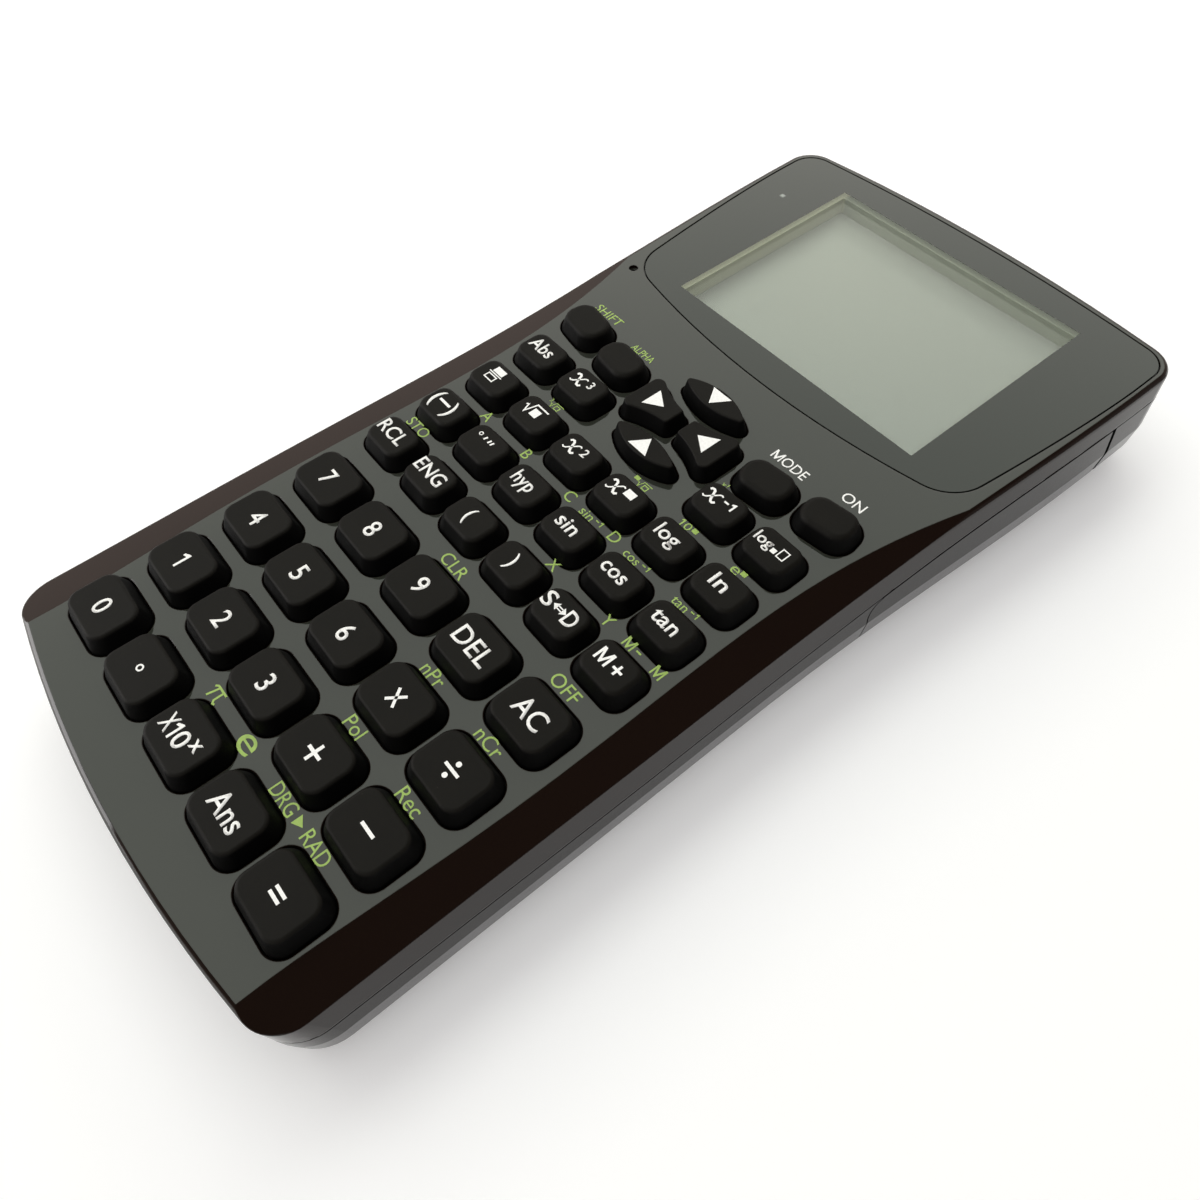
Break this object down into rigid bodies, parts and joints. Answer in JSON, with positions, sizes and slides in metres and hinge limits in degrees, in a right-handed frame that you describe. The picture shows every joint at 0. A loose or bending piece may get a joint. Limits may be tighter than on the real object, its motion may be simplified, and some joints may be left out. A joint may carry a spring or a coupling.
{
  "type": "graphing calculator",
  "caption": "Handheld graphing calculator with a large display window, sprung domed keys, a four-way pad and a wrap-round battery cover.",
  "frame": {"origin": "middle of the plan, on the surface the calculator's feet stand on", "axes": "+X to the user's right, +Y from the keypad towards the display end, +Z out of the face"},
  "size_m": [0.0926, 0.186, 0.0249],
  "materials": {
    "gloss_housing": "high gloss",
    "key_rubber": "soft-touch matt",
    "window": "clear with a black printed border",
    "lcd": "satin",
    "silicone": "matt",
    "board": "solder mask",
    "cell_steel": "satin sleeve",
    "contact_steel": "nickel plated",
    "screw_steel": "black zinc"
  },
  "bodies": {
    "body": {"front_housing": "gloss_housing", "rear_cover": "gloss_housing", "screen_window": "window", "lcd_module": "lcd", "keypad_mat": "silicone", "main_board": "board", "battery_cells": "cell_steel", "battery_contacts": "contact_steel", "case_screws": "screw_steel"},
    "key_digit_0": {"key_digit_0": "key_rubber"},
    "key_point": {"key_point": "key_rubber"},
    "key_exponent": {"key_exponent": "key_rubber"},
    "key_answer": {"key_answer": "key_rubber"},
    "key_equals": {"key_equals": "key_rubber"},
    "key_digit_1": {"key_digit_1": "key_rubber"},
    "key_digit_2": {"key_digit_2": "key_rubber"},
    "key_digit_3": {"key_digit_3": "key_rubber"},
    "key_plus": {"key_plus": "key_rubber"},
    "key_minus": {"key_minus": "key_rubber"},
    "key_digit_4": {"key_digit_4": "key_rubber"},
    "key_digit_5": {"key_digit_5": "key_rubber"},
    "key_digit_6": {"key_digit_6": "key_rubber"},
    "key_times": {"key_times": "key_rubber"},
    "key_divide": {"key_divide": "key_rubber"},
    "key_digit_7": {"key_digit_7": "key_rubber"},
    "key_digit_8": {"key_digit_8": "key_rubber"},
    "key_digit_9": {"key_digit_9": "key_rubber"},
    "key_delete": {"key_delete": "key_rubber"},
    "key_all_clear": {"key_all_clear": "key_rubber"},
    "key_recall": {"key_recall": "key_rubber"},
    "key_engineering": {"key_engineering": "key_rubber"},
    "key_open_bracket": {"key_open_bracket": "key_rubber"},
    "key_close_bracket": {"key_close_bracket": "key_rubber"},
    "key_decimal_switch": {"key_decimal_switch": "key_rubber"},
    "key_memory_plus": {"key_memory_plus": "key_rubber"},
    "key_negative": {"key_negative": "key_rubber"},
    "key_degrees": {"key_degrees": "key_rubber"},
    "key_hyperbolic": {"key_hyperbolic": "key_rubber"},
    "key_sine": {"key_sine": "key_rubber"},
    "key_cosine": {"key_cosine": "key_rubber"},
    "key_tangent": {"key_tangent": "key_rubber"},
    "key_fraction": {"key_fraction": "key_rubber"},
    "key_square_root": {"key_square_root": "key_rubber"},
    "key_square": {"key_square": "key_rubber"},
    "key_power": {"key_power": "key_rubber"},
    "key_log": {"key_log": "key_rubber"},
    "key_natural_log": {"key_natural_log": "key_rubber"},
    "key_absolute": {"key_absolute": "key_rubber"},
    "key_cube": {"key_cube": "key_rubber"},
    "key_reciprocal": {"key_reciprocal": "key_rubber"},
    "key_log_base": {"key_log_base": "key_rubber"},
    "key_shift": {"key_shift": "key_rubber"},
    "key_alpha": {"key_alpha": "key_rubber"},
    "key_mode": {"key_mode": "key_rubber"},
    "key_on": {"key_on": "key_rubber"},
    "key_pad_lower": {"key_pad_lower": "key_rubber"},
    "key_pad_upper": {"key_pad_upper": "key_rubber"},
    "key_pad_left": {"key_pad_left": "key_rubber"},
    "key_pad_right": {"key_pad_right": "key_rubber"},
    "battery_cover": {"battery_cover": "gloss_housing"}
  },
  "joints": [
    {"name": "key_digit_0_press", "type": "slide", "parent": "body", "child": "key_digit_0", "axis": [0, 0, -1], "range_m": [0, 0.0008], "stiffness_N_per_m": 400, "springref_m": -0.0002},
    {"name": "key_point_press", "type": "slide", "parent": "body", "child": "key_point", "axis": [0, 0, -1], "range_m": [0, 0.0008], "stiffness_N_per_m": 400, "springref_m": -0.0002},
    {"name": "key_exponent_press", "type": "slide", "parent": "body", "child": "key_exponent", "axis": [0, 0, -1], "range_m": [0, 0.0008], "stiffness_N_per_m": 400, "springref_m": -0.0002},
    {"name": "key_answer_press", "type": "slide", "parent": "body", "child": "key_answer", "axis": [0, 0, -1], "range_m": [0, 0.0008], "stiffness_N_per_m": 400, "springref_m": -0.0002},
    {"name": "key_equals_press", "type": "slide", "parent": "body", "child": "key_equals", "axis": [0, 0, -1], "range_m": [0, 0.0008], "stiffness_N_per_m": 400, "springref_m": -0.0002},
    {"name": "key_digit_1_press", "type": "slide", "parent": "body", "child": "key_digit_1", "axis": [0, 0, -1], "range_m": [0, 0.0008], "stiffness_N_per_m": 400, "springref_m": -0.0002},
    {"name": "key_digit_2_press", "type": "slide", "parent": "body", "child": "key_digit_2", "axis": [0, 0, -1], "range_m": [0, 0.0008], "stiffness_N_per_m": 400, "springref_m": -0.0002},
    {"name": "key_digit_3_press", "type": "slide", "parent": "body", "child": "key_digit_3", "axis": [0, 0, -1], "range_m": [0, 0.0008], "stiffness_N_per_m": 400, "springref_m": -0.0002},
    {"name": "key_plus_press", "type": "slide", "parent": "body", "child": "key_plus", "axis": [0, 0, -1], "range_m": [0, 0.0008], "stiffness_N_per_m": 400, "springref_m": -0.0002},
    {"name": "key_minus_press", "type": "slide", "parent": "body", "child": "key_minus", "axis": [0, 0, -1], "range_m": [0, 0.0008], "stiffness_N_per_m": 400, "springref_m": -0.0002},
    {"name": "key_digit_4_press", "type": "slide", "parent": "body", "child": "key_digit_4", "axis": [0, 0, -1], "range_m": [0, 0.0008], "stiffness_N_per_m": 400, "springref_m": -0.0002},
    {"name": "key_digit_5_press", "type": "slide", "parent": "body", "child": "key_digit_5", "axis": [0, 0, -1], "range_m": [0, 0.0008], "stiffness_N_per_m": 400, "springref_m": -0.0002},
    {"name": "key_digit_6_press", "type": "slide", "parent": "body", "child": "key_digit_6", "axis": [0, 0, -1], "range_m": [0, 0.0008], "stiffness_N_per_m": 400, "springref_m": -0.0002},
    {"name": "key_times_press", "type": "slide", "parent": "body", "child": "key_times", "axis": [0, 0, -1], "range_m": [0, 0.0008], "stiffness_N_per_m": 400, "springref_m": -0.0002},
    {"name": "key_divide_press", "type": "slide", "parent": "body", "child": "key_divide", "axis": [0, 0, -1], "range_m": [0, 0.0008], "stiffness_N_per_m": 400, "springref_m": -0.0002},
    {"name": "key_digit_7_press", "type": "slide", "parent": "body", "child": "key_digit_7", "axis": [0, 0, -1], "range_m": [0, 0.0008], "stiffness_N_per_m": 400, "springref_m": -0.0002},
    {"name": "key_digit_8_press", "type": "slide", "parent": "body", "child": "key_digit_8", "axis": [0, 0, -1], "range_m": [0, 0.0008], "stiffness_N_per_m": 400, "springref_m": -0.0002},
    {"name": "key_digit_9_press", "type": "slide", "parent": "body", "child": "key_digit_9", "axis": [0, 0, -1], "range_m": [0, 0.0008], "stiffness_N_per_m": 400, "springref_m": -0.0002},
    {"name": "key_delete_press", "type": "slide", "parent": "body", "child": "key_delete", "axis": [0, 0, -1], "range_m": [0, 0.0008], "stiffness_N_per_m": 400, "springref_m": -0.0002},
    {"name": "key_all_clear_press", "type": "slide", "parent": "body", "child": "key_all_clear", "axis": [0, 0, -1], "range_m": [0, 0.0008], "stiffness_N_per_m": 400, "springref_m": -0.0002},
    {"name": "key_recall_press", "type": "slide", "parent": "body", "child": "key_recall", "axis": [0, 0, -1], "range_m": [0, 0.0008], "stiffness_N_per_m": 400, "springref_m": -0.0002},
    {"name": "key_engineering_press", "type": "slide", "parent": "body", "child": "key_engineering", "axis": [0, 0, -1], "range_m": [0, 0.0008], "stiffness_N_per_m": 400, "springref_m": -0.0002},
    {"name": "key_open_bracket_press", "type": "slide", "parent": "body", "child": "key_open_bracket", "axis": [0, 0, -1], "range_m": [0, 0.0008], "stiffness_N_per_m": 400, "springref_m": -0.0002},
    {"name": "key_close_bracket_press", "type": "slide", "parent": "body", "child": "key_close_bracket", "axis": [0, 0, -1], "range_m": [0, 0.0008], "stiffness_N_per_m": 400, "springref_m": -0.0002},
    {"name": "key_decimal_switch_press", "type": "slide", "parent": "body", "child": "key_decimal_switch", "axis": [0, 0, -1], "range_m": [0, 0.0008], "stiffness_N_per_m": 400, "springref_m": -0.0002},
    {"name": "key_memory_plus_press", "type": "slide", "parent": "body", "child": "key_memory_plus", "axis": [0, 0, -1], "range_m": [0, 0.0008], "stiffness_N_per_m": 400, "springref_m": -0.0002},
    {"name": "key_negative_press", "type": "slide", "parent": "body", "child": "key_negative", "axis": [0, 0, -1], "range_m": [0, 0.0008], "stiffness_N_per_m": 400, "springref_m": -0.0002},
    {"name": "key_degrees_press", "type": "slide", "parent": "body", "child": "key_degrees", "axis": [0, 0, -1], "range_m": [0, 0.0008], "stiffness_N_per_m": 400, "springref_m": -0.0002},
    {"name": "key_hyperbolic_press", "type": "slide", "parent": "body", "child": "key_hyperbolic", "axis": [0, 0, -1], "range_m": [0, 0.0008], "stiffness_N_per_m": 400, "springref_m": -0.0002},
    {"name": "key_sine_press", "type": "slide", "parent": "body", "child": "key_sine", "axis": [0, 0, -1], "range_m": [0, 0.0008], "stiffness_N_per_m": 400, "springref_m": -0.0002},
    {"name": "key_cosine_press", "type": "slide", "parent": "body", "child": "key_cosine", "axis": [0, 0, -1], "range_m": [0, 0.0008], "stiffness_N_per_m": 400, "springref_m": -0.0002},
    {"name": "key_tangent_press", "type": "slide", "parent": "body", "child": "key_tangent", "axis": [0, 0, -1], "range_m": [0, 0.0008], "stiffness_N_per_m": 400, "springref_m": -0.0002},
    {"name": "key_fraction_press", "type": "slide", "parent": "body", "child": "key_fraction", "axis": [0, 0, -1], "range_m": [0, 0.0008], "stiffness_N_per_m": 400, "springref_m": -0.0002},
    {"name": "key_square_root_press", "type": "slide", "parent": "body", "child": "key_square_root", "axis": [0, 0, -1], "range_m": [0, 0.0008], "stiffness_N_per_m": 400, "springref_m": -0.0002},
    {"name": "key_square_press", "type": "slide", "parent": "body", "child": "key_square", "axis": [0, 0, -1], "range_m": [0, 0.0008], "stiffness_N_per_m": 400, "springref_m": -0.0002},
    {"name": "key_power_press", "type": "slide", "parent": "body", "child": "key_power", "axis": [0, 0, -1], "range_m": [0, 0.0008], "stiffness_N_per_m": 400, "springref_m": -0.0002},
    {"name": "key_log_press", "type": "slide", "parent": "body", "child": "key_log", "axis": [0, 0, -1], "range_m": [0, 0.0008], "stiffness_N_per_m": 400, "springref_m": -0.0002},
    {"name": "key_natural_log_press", "type": "slide", "parent": "body", "child": "key_natural_log", "axis": [0, 0, -1], "range_m": [0, 0.0008], "stiffness_N_per_m": 400, "springref_m": -0.0002},
    {"name": "key_absolute_press", "type": "slide", "parent": "body", "child": "key_absolute", "axis": [0, 0, -1], "range_m": [0, 0.0008], "stiffness_N_per_m": 400, "springref_m": -0.0002},
    {"name": "key_cube_press", "type": "slide", "parent": "body", "child": "key_cube", "axis": [0, 0, -1], "range_m": [0, 0.0008], "stiffness_N_per_m": 400, "springref_m": -0.0002},
    {"name": "key_reciprocal_press", "type": "slide", "parent": "body", "child": "key_reciprocal", "axis": [0, 0, -1], "range_m": [0, 0.0008], "stiffness_N_per_m": 400, "springref_m": -0.0002},
    {"name": "key_log_base_press", "type": "slide", "parent": "body", "child": "key_log_base", "axis": [0, 0, -1], "range_m": [0, 0.0008], "stiffness_N_per_m": 400, "springref_m": -0.0002},
    {"name": "key_shift_press", "type": "slide", "parent": "body", "child": "key_shift", "axis": [0, 0, -1], "range_m": [0, 0.0008], "stiffness_N_per_m": 400, "springref_m": -0.0002},
    {"name": "key_alpha_press", "type": "slide", "parent": "body", "child": "key_alpha", "axis": [0, 0, -1], "range_m": [0, 0.0008], "stiffness_N_per_m": 400, "springref_m": -0.0002},
    {"name": "key_mode_press", "type": "slide", "parent": "body", "child": "key_mode", "axis": [0, 0, -1], "range_m": [0, 0.0008], "stiffness_N_per_m": 400, "springref_m": -0.0002},
    {"name": "key_on_press", "type": "slide", "parent": "body", "child": "key_on", "axis": [0, 0, -1], "range_m": [0, 0.0008], "stiffness_N_per_m": 400, "springref_m": -0.0002},
    {"name": "key_pad_lower_press", "type": "slide", "parent": "body", "child": "key_pad_lower", "axis": [0, 0, -1], "range_m": [0, 0.0008], "stiffness_N_per_m": 400, "springref_m": -0.0002},
    {"name": "key_pad_upper_press", "type": "slide", "parent": "body", "child": "key_pad_upper", "axis": [0, 0, -1], "range_m": [0, 0.0008], "stiffness_N_per_m": 400, "springref_m": -0.0002},
    {"name": "key_pad_left_press", "type": "slide", "parent": "body", "child": "key_pad_left", "axis": [0, 0, -1], "range_m": [0, 0.0008], "stiffness_N_per_m": 400, "springref_m": -0.0002},
    {"name": "key_pad_right_press", "type": "slide", "parent": "body", "child": "key_pad_right", "axis": [0, 0, -1], "range_m": [0, 0.0008], "stiffness_N_per_m": 400, "springref_m": -0.0002},
    {"name": "battery_cover_lift", "type": "slide", "parent": "body", "child": "battery_cover", "axis": [0, 0, -1], "range_m": [0, 0.03]}
  ]
}
